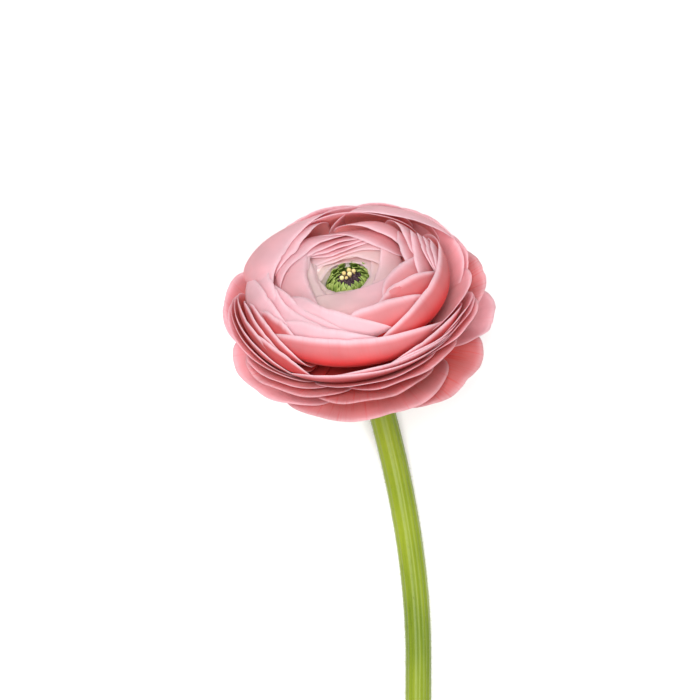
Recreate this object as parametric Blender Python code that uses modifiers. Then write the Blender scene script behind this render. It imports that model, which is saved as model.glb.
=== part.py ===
"""A cut ranunculus: one double pink bloom on a bare green stem, lying on its side on a flat surface.

Units are metres, +Z is up and the surface is z = 0. The stem runs towards -Y. The bloom rests on the outer
petals under it, its face turned up, and the stem lies along the surface. The bloom is modelled round its own
axis in millimetres: r outwards, z along the axis from the receptacle to the eye.
"""

import math
import random

import bmesh
import bpy
from mathutils import Matrix, Vector

MM = 0.001

# Driving dimensions, in millimetres unless they say otherwise.
BLOOM_RADIUS = 35.88  # the spread of the outermost petals
BLOOM_DEPTH = 27.69  # receptacle to the highest petal rims
SKIRT_HEIGHT = 4.0  # where the spread petals end and the bun of petals starts
EYE_RADIUS = 6.2  # the green eye in the middle
EYE_FLOOR = 17.9  # where the eye's pieces stand, over the receptacle
PETAL_THICKNESS = 0.6
CORE_SHARE = 0.5  # how far up the petals the solid core reaches
YOUNG_LAYER = 0.945  # past it the petals are too fine for the solid
NARROW = math.radians(26)  # half the spread of the petals that are too narrow for the solid
SEPALS = 5
SEPAL_LENGTH = 13.0
SEPAL_HALF_WIDTH = 4.4
STEM_LYING = 112.0  # the length of stem past its bend
STEM_RADIUS_TOP = 3.2
STEM_RADIUS_FOOT = 3.5
BASE_AT = (0.52, 80.16, 18.6)  # the receptacle's place
FACE_RISE = math.radians(42.67)  # the bloom's axis over the surface
FACE_LEAN = math.radians(14.07)  # the bloom's axis away from +Y, towards -X
LYING_LAYER = 0.063  # the layer of the petals that lie on the surface
SETTLE = 0.22  # how deep the flat underside is cut
GAP = 0.3  # between pieces that touch
BELLY = (40, 8)  # where a petal that follows the round of the bloom heads for from its root

# Where each petal's rim runs: bearing in degrees and layer at its two ends, then how closely the petal
# follows the round of the bloom (0 to 1, or below 0 where it leans out) and how deep its pink is (0 to 1).
# Layer 0 is the spread skirt and 1 the eye, and most rims turn inwards against the bearings, as a spiral.
PETALS = (
    # guard petals, spread out under the bloom
    (278, 341, -0.03, 0.03, 0, 0.6), (323, 367, 0.07, 0.10, 0, 0.0), (216, 316, 0.12, 0.03, 0, 0.4),
    (176, 250, 0.24, 0.13, 0, 0.5), (132, 198, 0.34, 0.28, 0, 0.2), (2, 66, 0.13, 0.10, 0, 0.5),
    (40, 105, 0.05, 0.07, 0, 0.5), (88, 156, 0.06, 0.08, 0, 0.5),
    # skirt
    (236, 305, 0.215, 0.195, 0, 0.8), (254, 325, 0.27, 0.245, 0, 0.9), (192, 262, 0.28, 0.24, 0, 0.8),
    (330, 395, 0.25, 0.20, 0, 0.5), (30, 95, 0.28, 0.24, 0, 0.7), (84, 152, 0.32, 0.29, 0, 0.7),
    (130, 198, 0.37, 0.34, 0, 0.3), (238, 312, 0.325, 0.29, 0, 0.9), (194, 250, 0.325, 0.29, 0, 0.9),
    (296, 350, 0.32, 0.26, 0, 0.9), (230, 326, 0.425, 0.35, 0, 0.9), (296, 352, 0.36, 0.29, 0, 0.9),
    (304, 350, 0.395, 0.315, 0, 0.9), (156, 240, 0.41, 0.35, 0, 0.6), (350, 398, 0.36, 0.33, 0, 0.8),
    (10, 80, 0.40, 0.36, 0, 0.6), (60, 130, 0.44, 0.40, 0, 0.5), (298, 364, 0.47, 0.335, -0.4, 0.0),
    (252, 326, 0.425, 0.385, 0.1, 1.0), (286, 346, 0.44, 0.385, 0.1, 1.0),
    # outside of the bun
    (156, 230, 0.455, 0.40, 0.1, 0.7), (160, 266, 0.51, 0.475, 0.1, 0.9), (164, 240, 0.555, 0.49, 0.2, 0.7),
    (248, 326, 0.585, 0.465, 0.25, 0.9), (204, 276, 0.53, 0.50, 0.2, 0.85), (172, 246, 0.60, 0.51, 0.2, 0.7),
    (178, 262, 0.64, 0.54, 0.2, 0.6), (192, 236, 0.67, 0.59, 0.2, 0.6), (20, 92, 0.55, 0.52, 0.3, 0.4),
    (60, 122, 0.58, 0.54, 0.4, 0.3), (40, 112, 0.655, 0.63, 0.4, 0.3), (276, 390, 0.655, 0.615, 0.3, 1.0),
    (328, 378, 0.635, 0.67, 0.3, 0.6), (332, 380, 0.67, 0.70, 0.3, 0.5), (336, 384, 0.705, 0.725, 0.3, 0.4),
    (6, 80, 0.68, 0.75, 0.9, 0.1), (214, 290, 0.67, 0.575, 0.25, 0.3), (210, 286, 0.72, 0.60, 0.2, 0.2),
    (160, 232, 0.705, 0.69, 0.45, 0.2), (150, 216, 0.74, 0.775, 0.5, 0.2), (322, 392, 0.775, 0.74, 0.3, 0.4),
    (28, 128, 0.775, 0.745, 0.4, 0.5),
    # inside of the bun
    (84, 190, 0.775, 0.865, 0.85, 0.1), (158, 280, 0.825, 0.63, 0.25, 0.15), (338, 410, 0.81, 0.765, 0.3, 0.4),
    (284, 347, 0.85, 0.65, 0.5, 0.45), (256, 322, 0.78, 0.68, 0.25, 0.5), (92, 172, 0.84, 0.895, 0.3, 0.3), (178, 276, 0.88, 0.67, 0.2, 0.1),
    (202, 292, 0.91, 0.66, 0.25, 0.1), (290, 352, 0.91, 0.765, 0.35, 0.35), (322, 388, 0.85, 0.885, 0.2, 0.3),
    (352, 450, 0.885, 0.875, 0.1, 0.4), (58, 188, 0.935, 0.905, 0.1, 0.2), (206, 338, 1.03, 0.90, 0.3, 0.3),
    (2, 108, 0.965, 0.91, 0.1, 0.35), (286, 402, 1.015, 0.955, 0.05, 0.3), (118, 250, 0.985, 1.035, 0.3, 0.0),
    (112, 236, 0.945, 0.965, 0.3, 0.15), (108, 232, 0.965, 0.99, 0.3, 0.1),
    (38, 168, 0.955, 0.95, 0.1, 0.35), (36, 150, 0.97, 0.985, 0.1, 0.3), (34, 140, 0.98, 1.01, 0.1, 0.25),
    (14, 150, 0.985, 1.04, 0.1, 0.2), (-30, 170, 1.0, 1.05, 0.1, 0.1), (-60, 140, 1.05, 1.06, 0.1, 0.1),
    (30, 230, 1.06, 1.06, 0.1, 0.0), (120, 290, 1.03, 1.05, 0.1, 0.0), (180, 330, 1.05, 1.05, 0.1, 0.0),
    (250, 410, 1.05, 1.04, 0.1, 0.0),
)

# How far the rims of the bun stand off its round: bearing in degrees, more degrees of slope, and spread.
TIGHT = 22
LOOSE = ((85, 36, 34), (198, 16, 26), (5, 22, 34))


def mix(a, b, share):
    return a + (b - a) * share


def smooth(x, low, high):
    """0 below low, 1 above high, and an even rise between."""
    x = min(1.0, max(0.0, (x - low) / (high - low)))
    return x * x * (3 - 2 * x)


def bezier(points, t):
    weights = ((1 - t) ** 3, 3 * t * (1 - t) ** 2, 3 * t * t * (1 - t), t**3)
    return tuple(sum(w * p[i] for w, p in zip(weights, points)) for i in range(len(points[0])))


def rim_of(s):
    """Where the petals of layer s end: from the spread skirt at s = 0 over the bun to the eye at s = 1."""
    turn = mix(math.radians(-4), math.radians(101), s)
    tube = BLOOM_DEPTH - SKIRT_HEIGHT
    ring = BLOOM_RADIUS - tube
    dip = 3.6 * smooth(s, 0.8, 1.0) + 1.8 * smooth(s, 0.95, 1.06)
    return ring + tube * math.cos(turn), SKIRT_HEIGHT + tube * math.sin(turn) - dip


def lift(s, bearing):
    """How many degrees the rim of layer s stands off the round of the bloom at this bearing."""
    bun = TIGHT
    for middle, more, spread in LOOSE:
        away = (math.degrees(bearing) - middle + 180) % 360 - 180
        bun += more * math.exp(-((away / spread) ** 2))
    return mix(90, bun, smooth(s, 0.22, 0.52))


def profile(s, t, bearing, hug=0):
    """(r, z) of layer s at t: 0 is the root on the receptacle and 1 the rim."""
    s = min(1.06, max(-0.06, s))
    root = mix(3.6, 4.4, s), 12.5 * s
    rim = rim_of(s)
    before, after = rim_of(s - 0.01), rim_of(s + 0.01)
    tangent = math.atan2(after[1] - before[1], after[0] - before[0]) % math.tau
    raised = mix(lift(s, bearing), 2, max(0, hug)) - 60 * min(0, hug)
    rim_slope = tangent - math.radians(raised)
    root_slope = math.radians(mix(-2, 42, smooth(s, 0, 0.8)))
    reach = math.dist(root, rim)
    leave = mix(0.42 * reach, 15, smooth(s, 0.5, 1))
    hug = max(0, hug)
    arrive = mix(mix(12, 0.4 * reach, min(1, raised / 80)), 16, hug)
    first = root[0] + leave * math.cos(root_slope), root[1] + leave * math.sin(root_slope)
    first = mix(first[0], BELLY[0], hug), mix(first[1], BELLY[1], hug)
    last = rim[0] - arrive * math.cos(rim_slope), rim[1] - arrive * math.sin(rim_slope)
    return bezier((root, first, last, rim), t)


BLOOM_PLACE = (
    Matrix.Translation([MM * x for x in BASE_AT])
    @ Matrix.Rotation(FACE_LEAN, 4, "Z")
    @ Matrix.Rotation(FACE_RISE - math.pi / 2, 4, "X")
    @ Matrix.Scale(MM, 4)
)
EYE_PLACE = BLOOM_PLACE @ Matrix.Translation((0.8, 0.2, 0))


def petal_list():
    """Each petal's middle bearing, half width, layers and edge, outermost first."""
    draw = random.Random(10)
    made = []
    for first, last, layer_first, layer_last, hug, _ in PETALS:
        made.append(
            {
                "bearing": math.radians((first + last) / 2),
                "half": math.radians((last - first) / 2),
                "layers": (layer_first, layer_last),
                "s": (layer_first + layer_last) / 2,
                "hug": hug,
                "length": draw.uniform(0.985, 1.015),
                "fall": draw.uniform(0.3, 0.42),
            }
        )
    return made


def petal_point(petal, u, v):
    """A petal's middle surface: u from -1 to 1 across it, v from 0 at the root to 1 at the rim."""
    round_end = 1 - (1 - 0.97 * abs(u) ** 2.5) ** 0.45
    t = v * petal["length"] * (1 - petal["fall"] * round_end)
    bearing = petal["bearing"] + petal["half"] * u * smooth(v, -0.5, 0.6)
    s = mix(*petal["layers"], (u + 1) / 2)
    hug = petal["hug"] * (1 - 0.9 * smooth(u, 0.3, 1.0))
    r, z = profile(s, t, bearing, hug)
    place = BLOOM_PLACE @ Vector((r * math.cos(bearing), r * math.sin(bearing), z))
    # The surface presses on the petals under the bloom, the inner ones through the outer ones.
    bed = MM * (7.0 * max(0.0, petal["s"] - LYING_LAYER) + 0.5 * PETAL_THICKNESS - SETTLE)
    over = place.z - bed
    place.z = bed + 0.5 * (over + math.hypot(over, 0.5 * MM))
    return place


def collection(name, cutters=False):
    made = bpy.data.collections.new(name)
    made.hide_render = cutters
    bpy.context.scene.collection.children.link(made)
    return made


def material(name, colour, roughness):
    made = bpy.data.materials.new(name)
    made.use_nodes = True
    shader = made.node_tree.nodes["Principled BSDF"]
    shader.inputs["Base Color"].default_value = (*colour, 1)
    shader.inputs["Roughness"].default_value = roughness
    shader.inputs["Metallic"].default_value = 0
    return made


def mesh_object(name, bm, into, place=None):
    """The bmesh as an object. Its points are moved by place, from the bloom's millimetres to the scene."""
    if place:
        bmesh.ops.transform(bm, matrix=place, verts=bm.verts)
    bmesh.ops.recalc_face_normals(bm, faces=bm.faces)
    mesh = bpy.data.meshes.new(name)
    bm.to_mesh(mesh)
    bm.free()
    obj = bpy.data.objects.new(name, mesh)
    into.objects.link(obj)
    return obj


def lathe(outline, steps):
    """A closed body round the bloom's axis from its (r, z) outline, which ends on the axis or closes on itself."""
    bm = bmesh.new()
    verts = [bm.verts.new((r, 0, z)) for r, z in outline]
    edges = [bm.edges.new(pair) for pair in zip(verts, verts[1:])]
    if outline[0][0] > 0:
        edges.append(bm.edges.new((verts[-1], verts[0])))
    bmesh.ops.spin(bm, geom=verts + edges, axis=(0, 0, 1), steps=steps, angle=math.tau)
    bmesh.ops.remove_doubles(bm, verts=bm.verts, dist=0.001)
    return bm


def apply_modifiers(obj):
    graph = bpy.context.evaluated_depsgraph_get()
    mesh = bpy.data.meshes.new_from_object(obj.evaluated_get(graph), depsgraph=graph)
    obj.modifiers.clear()
    obj.data = mesh


def fuse(obj, pieces):
    """Unites obj with every object in the pieces collection, then removes them."""
    join = obj.modifiers.new("union", "BOOLEAN")
    join.operation = "UNION"
    join.operand_type = "COLLECTION"
    join.collection = pieces
    join.solver = "EXACT"
    apply_modifiers(obj)
    for piece in list(pieces.objects):
        bpy.data.objects.remove(piece)
    bpy.data.collections.remove(pieces)


def keep_outer_skin(obj):
    """Removes the small sealed pockets and crumbs that a union of crowded blades leaves."""
    bm = bmesh.new()
    bm.from_mesh(obj.data)
    left, islands = set(bm.verts), []
    while left:
        island, edge_of = set(), [left.pop()]
        while edge_of:
            vert = edge_of.pop()
            island.add(vert)
            near = {edge.other_vert(vert) for edge in vert.link_edges} & left
            left -= near
            edge_of.extend(near)
        islands.append(island)
    islands.sort(key=len)
    bmesh.ops.delete(bm, geom=[vert for island in islands[:-1] for vert in island], context="VERTS")
    bm.to_mesh(obj.data)
    bm.free()


def cut(obj, name, cutter):
    trim = obj.modifiers.new(name, "BOOLEAN")
    trim.operation = "DIFFERENCE"
    trim.object = cutter
    trim.solver = "EXACT"


def make_blade(name, into, point, across, along, thickness):
    """A thin blade through point(u, v), u from -1 to 1 across and v from 0 to 1 along, alike on both faces."""
    bm = bmesh.new()
    bmesh.ops.create_grid(bm, x_segments=across, y_segments=along, size=1)
    for vert in bm.verts:
        vert.co = point(vert.co.x, (vert.co.y + 1) / 2)
    bmesh.ops.triangulate(bm, faces=bm.faces)
    obj = mesh_object(name, bm, into)
    solid = obj.modifiers.new("thickness", "SOLIDIFY")
    solid.thickness = thickness * MM
    solid.offset = 0
    return obj


def make_petals(bloom):
    """The core that fills the inside of the bloom, with the petals standing out of it in a spiral."""
    steps = 10
    outline = [(0, -GAP), (9, -GAP), (10.5, 0.6)]
    outline += [profile(mix(0.1, 1, i / steps), CORE_SHARE, math.radians(270)) for i in range(steps)]
    outline += [(EYE_RADIUS + 1.2, EYE_FLOOR - GAP), (0, EYE_FLOOR - GAP)]
    core = mesh_object("petals", lathe(outline, 20), bloom, BLOOM_PLACE)
    blades = collection("petal blades")
    for petal in petal_list():
        spread, follows = petal["s"] < 0.14, petal["hug"] > 0.5
        if petal["s"] > YOUNG_LAYER or petal["half"] < NARROW and not spread:
            continue
        first = 0.15 if spread or follows else CORE_SHARE - 0.08

        def point(u, v, petal=petal, first=first):
            return petal_point(petal, u, mix(first, 1, v))

        across = 6 if spread else 4
        make_blade("petal", blades, point, across, 4 if spread or follows else 2, PETAL_THICKNESS)
    fuse(core, blades)
    return core


def sepal_point(bearing, u, v):
    """A sepal's middle surface, close under the outermost petals and bent a little away from them at the tip."""
    half = SEPAL_HALF_WIDTH * mix(0.5, 1, smooth(v, 0, 0.45)) * (1 - v**3) ** 0.7 + 0.35
    r = 4.9 + SEPAL_LENGTH * v
    z = -1.3 - 1.1 * v * v + 0.3 * u * u * (1 - v)
    across = Vector((-math.sin(bearing), math.cos(bearing), 0))
    out = Vector((math.cos(bearing), math.sin(bearing), 0))
    return BLOOM_PLACE @ (out * r + across * half * u + Vector((0, 0, z)))


def make_sepals(bloom):
    """Five sepals on a collar round the top of the stem."""
    collar = [(4.55, -0.75), (5.9, -0.75), (5.9, -1.9), (4.55, -1.9)]
    ring = mesh_object("sepals", lathe(collar, 24), bloom, BLOOM_PLACE)
    blades = collection("sepal blades")
    for k in range(SEPALS):
        bearing = math.tau * k / SEPALS + 0.3
        make_blade("sepal", blades, lambda u, v, b=bearing: sepal_point(b, u, v), 4, 6, 0.7)
    fuse(ring, blades)
    return ring


def stem_line():
    """(point, radius) along the stem's middle line: out of the receptacle, down to the surface and along it."""
    axis = BLOOM_PLACE.to_3x3() @ Vector((0, 0, 1))
    base = MM * Vector(BASE_AT)
    line = [(base - 0.6 * axis, 4.2), (base - 1.6 * axis, 4.15)]
    start = base - 2.6 * axis
    bend = (
        tuple(start / MM),
        (BASE_AT[0] + 8.0, BASE_AT[1] - 27.0, -1.5),
        (BASE_AT[0] + 15.6, BASE_AT[1] - 56.0, 4.2),
        (BASE_AT[0] + 15.4, BASE_AT[1] - 86.0, STEM_RADIUS_TOP),
    )
    for i in range(15):
        t = i / 14
        swell = 0.9 * (1 - smooth(t, 0, 0.16))
        line.append((MM * Vector(bezier(bend, t)), STEM_RADIUS_TOP + swell))
    for i in range(1, 7):
        share = i / 6
        radius = mix(STEM_RADIUS_TOP, STEM_RADIUS_FOOT, share)
        at = (bend[3][0] - 3.5 * share * share, bend[3][1] - STEM_LYING * share, radius)
        line.append((MM * Vector(at), radius))
    return [(Vector((p.x, p.y, max(p.z, MM * (radius - SETTLE)))), radius) for p, radius in line]


def make_stem(bloom):
    curve = bpy.data.curves.new("stem", "CURVE")
    curve.dimensions = "3D"
    curve.bevel_depth = MM
    curve.bevel_resolution = 4
    curve.use_fill_caps = True
    line = stem_line()
    spline = curve.splines.new("POLY")
    spline.points.add(len(line) - 1)
    for point, (at, radius) in zip(spline.points, line):
        point.co = (*at, 1)
        point.radius = radius
    tube = bpy.data.objects.new("stem curve", curve)
    bpy.context.scene.collection.objects.link(tube)
    apply_graph = bpy.context.evaluated_depsgraph_get()
    bm = bmesh.new()
    bm.from_mesh(bpy.data.meshes.new_from_object(tube.evaluated_get(apply_graph)))
    bmesh.ops.remove_doubles(bm, verts=bm.verts, dist=1e-6)
    bpy.data.objects.remove(tube)
    return mesh_object("stem", bm, bloom)


def lean_out(r, bearing, z, tilt):
    """The place of a small upright piece of the eye: at (r, bearing, z), leaning inwards by tilt."""
    turn = Matrix.Rotation(bearing, 4, "Z") @ Matrix.Translation((r, 0, z))
    return EYE_PLACE @ turn @ Matrix.Rotation(-tilt, 4, "Y")


def make_scales(bloom):
    """The eye's green ring: pointed scales in two circles, leaning in over the middle."""
    low, high = EYE_FLOOR, EYE_FLOOR + 1.1
    wall = [(3.9, low), (EYE_RADIUS - 0.1, low), (EYE_RADIUS - 0.1, high), (3.9, high)]
    ring = mesh_object("green_scales", lathe(wall, 24), bloom, EYE_PLACE)
    scales = collection("scales")
    draw = random.Random(5)
    for count, r, tall, tilt in ((15, 5.2, 3.6, 0.26), (11, 4.4, 2.7, 0.4)):
        for k in range(count):
            bm = bmesh.new()
            bmesh.ops.create_cone(
                bm, cap_ends=True, segments=6, radius1=1.05, radius2=0.25, depth=tall * draw.uniform(0.85, 1.1)
            )
            bmesh.ops.scale(bm, vec=(0.6, 1, 1), verts=bm.verts)
            bearing = math.tau * (k + draw.uniform(-0.15, 0.15)) / count
            place = lean_out(r, bearing, low + 0.4 + tall / 2, tilt * draw.uniform(0.8, 1.2))
            mesh_object("scale", bm, scales, place)
    fuse(ring, scales)
    return ring


def make_pistils(bloom):
    """The dark dome inside the scales, with short blunt tips over it."""
    top = EYE_FLOOR + 2.9
    dome = [(0, EYE_FLOOR), (3.3, EYE_FLOOR), (3.3, top - 0.9), (2.6, top - 0.25), (1.4, top), (0, top)]
    body = mesh_object("pistils", lathe(dome, 16), bloom, EYE_PLACE)
    tips = collection("tips")
    for k in range(13):
        bm = bmesh.new()
        bmesh.ops.create_cone(bm, cap_ends=True, segments=6, radius1=0.6, radius2=0.25, depth=1.6)
        place = lean_out(2.75, math.tau * k / 13, top - 0.1, 0.1)
        mesh_object("tip", bm, tips, place)
    fuse(body, tips)
    return body


def make_anthers(bloom):
    """Cream beads on short stalks from one foot, off the middle of the dome."""
    foot_z = EYE_FLOOR + 2.9 + GAP
    foot = [(0, foot_z), (1.1, foot_z), (1.0, foot_z + 0.5), (0, foot_z + 0.8)]
    body = mesh_object("anthers", lathe(foot, 12), bloom, EYE_PLACE)
    beads = collection("beads")
    for x, y in ((-1.5, -0.9), (-0.7, 0.5), (0.5, 1.4), (0.6, -0.5), (1.6, 0.6)):
        bead = Vector((x, y, foot_z + 1.3))
        bm = bmesh.new()
        bmesh.ops.create_icosphere(bm, subdivisions=2, radius=0.72)
        mesh_object("bead", bm, beads, EYE_PLACE @ Matrix.Translation(bead))
        reach = bead - Vector((0, 0, foot_z + 0.3))
        turn = reach.to_track_quat("Z", "X").to_matrix().to_4x4()
        bm = bmesh.new()
        bmesh.ops.create_cone(bm, cap_ends=True, segments=6, radius1=0.4, radius2=0.35, depth=reach.length)
        place = Matrix.Translation(bead - reach / 2) @ turn
        mesh_object("stalk", bm, beads, EYE_PLACE @ place)
    fuse(body, beads)
    return body


def make_cutters():
    """The surface, which flattens what rests on it, and the slanted end of the stem."""
    cutters = collection("cutters", cutters=True)
    floor = bmesh.new()
    bmesh.ops.create_cube(floor, size=1, matrix=Matrix.Translation((0, 0, -0.5)))
    foot = bmesh.new()
    slant = Matrix.Rotation(math.radians(28), 4, "X") @ Matrix.Translation((0, -0.05, 0))
    end = stem_line()[-1][0] + Vector((0, 5 * MM, 0))
    bmesh.ops.create_cube(foot, size=0.1, matrix=Matrix.Translation(end) @ slant)
    made = mesh_object("floor", floor, cutters), mesh_object("stem foot", foot, cutters)
    for obj in made:
        obj.display_type = "WIRE"
    return made


def finish(obj, colour):
    obj.data.materials.append(colour)
    obj.data.shade_smooth()
    obj.data.set_sharp_from_angle(angle=math.radians(40))


def main():
    for obj in list(bpy.data.objects):
        bpy.data.objects.remove(obj)
    bloom = collection("ranunculus")
    petals, stem = make_petals(bloom), make_stem(bloom)
    floor, foot = make_cutters()
    cut(petals, "flat underneath", floor)
    apply_modifiers(petals)
    keep_outer_skin(petals)
    cut(stem, "flat underneath", floor)
    cut(stem, "slanted foot", foot)
    finish(petals, material("petal_pink", (0.72, 0.17, 0.22), 0.55))
    green = material("stem_green", (0.2, 0.29, 0.02), 0.6)
    finish(stem, green)
    finish(make_sepals(bloom), green)
    finish(make_scales(bloom), material("scale_green", (0.15, 0.25, 0.02), 0.5))
    finish(make_pistils(bloom), material("pistil_purple", (0.03, 0.012, 0.03), 0.6))
    finish(make_anthers(bloom), material("anther_cream", (0.75, 0.62, 0.28), 0.5))


if __name__ == "__main__":
    main()
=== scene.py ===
"""A cut ranunculus lying on its side: the fine petals, eye, sepals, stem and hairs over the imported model."""

import math
import random

import bmesh
import bpy
from bpy.props import FloatProperty, FloatVectorProperty, IntProperty, PointerProperty
from bpy.types import NodeSocket, Operator, Panel, PropertyGroup
from mathutils import Matrix, Vector


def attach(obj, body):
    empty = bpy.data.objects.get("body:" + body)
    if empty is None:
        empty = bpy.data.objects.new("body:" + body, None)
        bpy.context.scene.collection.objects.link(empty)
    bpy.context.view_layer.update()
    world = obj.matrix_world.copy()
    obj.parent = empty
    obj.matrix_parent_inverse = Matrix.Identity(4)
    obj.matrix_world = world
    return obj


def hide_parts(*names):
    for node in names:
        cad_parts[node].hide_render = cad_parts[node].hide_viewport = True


bl_info = {
    "name": "Ranunculus",
    "version": (1, 0, 0),
    "blender": (4, 5, 0),
    "location": "3D Viewport > Sidebar > Ranunculus",
    "description": "Builds a double pink ranunculus bloom on its cut stem",
    "category": "Add Mesh",
}

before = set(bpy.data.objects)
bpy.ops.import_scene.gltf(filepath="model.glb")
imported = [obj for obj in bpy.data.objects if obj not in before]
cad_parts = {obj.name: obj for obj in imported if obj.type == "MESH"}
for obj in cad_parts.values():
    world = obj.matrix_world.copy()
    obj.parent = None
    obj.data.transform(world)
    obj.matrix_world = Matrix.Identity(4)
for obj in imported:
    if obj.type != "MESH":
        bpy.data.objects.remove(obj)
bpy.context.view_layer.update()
MM = 0.001

# Lengths are in millimetres, angles in radians unless a comment says degrees.
FACE_RISE = math.radians(42.67)  # how far the bloom's axis rises from the surface
FACE_LEAN = math.radians(14.07)
BASE_AT = Vector((0.52, 80.16, 18.6))  # the middle of the receptacle, where the petals start
SKIRT_HEIGHT = 4.0
RIM_TURNS = (-4, 101)  # degrees that the round of the bloom turns through, from layer 0 to layer 1
ROOT_RADII = (3.6, 4.4)
ROOT_HEIGHT = 12.5
BELLY = (40, 8)  # where a petal that follows the round of the bloom heads for from its root
PETAL_LENGTH = 30  # from root to rim, as the pattern of the veins is drawn
LYING_LAYER = 0.063  # the outermost layers, up to this one, lie on the surface itself
LYING_BED = 0.08
LYING_STEP = 7.0  # how much higher each layer comes to lie on those under it
LYING_SOFTNESS = 0.5
EDGE_WIDTH = 1.6  # a blade thins out over this width at its edges
CORE_STEPS = 16
# (r, z) round the soft edge of the hollow that the eye sits in
MOUTH = ((6.3, 18.4), (8.2, 19.2), (8.8, 21.8), (8.4, 21.8), (7.7, 19.8), (6.3, 19.0))
HEART_HEIGHTS = (13, 16)  # between these the flesh turns from the guard petals' coral to the heart's white
EYE_FLOOR = 17.9
DOME_TOP = EYE_FLOOR + 2.8
KNOBS = 70
KNOB_SPREAD = 3.2
GOLDEN_ANGLE = 2.39996  # from each knob to the next, so that they fill the dome evenly
LEAF_THICKNESS = 0.5
SEPALS = 5
SEPAL_LENGTH = 13.0
SEPAL_HALF_WIDTH = 4.4
BEND_SHARE = 0.43  # the share of the stem between the bloom and the end of its bend
STEM_LYING = 112.0  # the length from the bend to the foot
STEM_LENGTH = 195  # all of it, as the pattern of the skin is drawn
SETTLE = 0.22  # how far the stem's own weight presses it down
CUT_BACK = 5.0
CUT_SLANT = math.radians(28)
CREASE = math.radians(50)  # edges sharper than this are left hard
PETAL_SEED, EYE_SEED, HAIR_SEED = 10, 5, 9
SENSOR_WIDTH = 36.0

# The stage, in metres: the camera and what the lights aim at are set off from the receptacle.
CAMERA_SHIFT = (-0.00264, -0.003)
LIGHT_AIM = Vector((0, 0, 0.015))
WORLD_STRENGTH = 0.5

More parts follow.
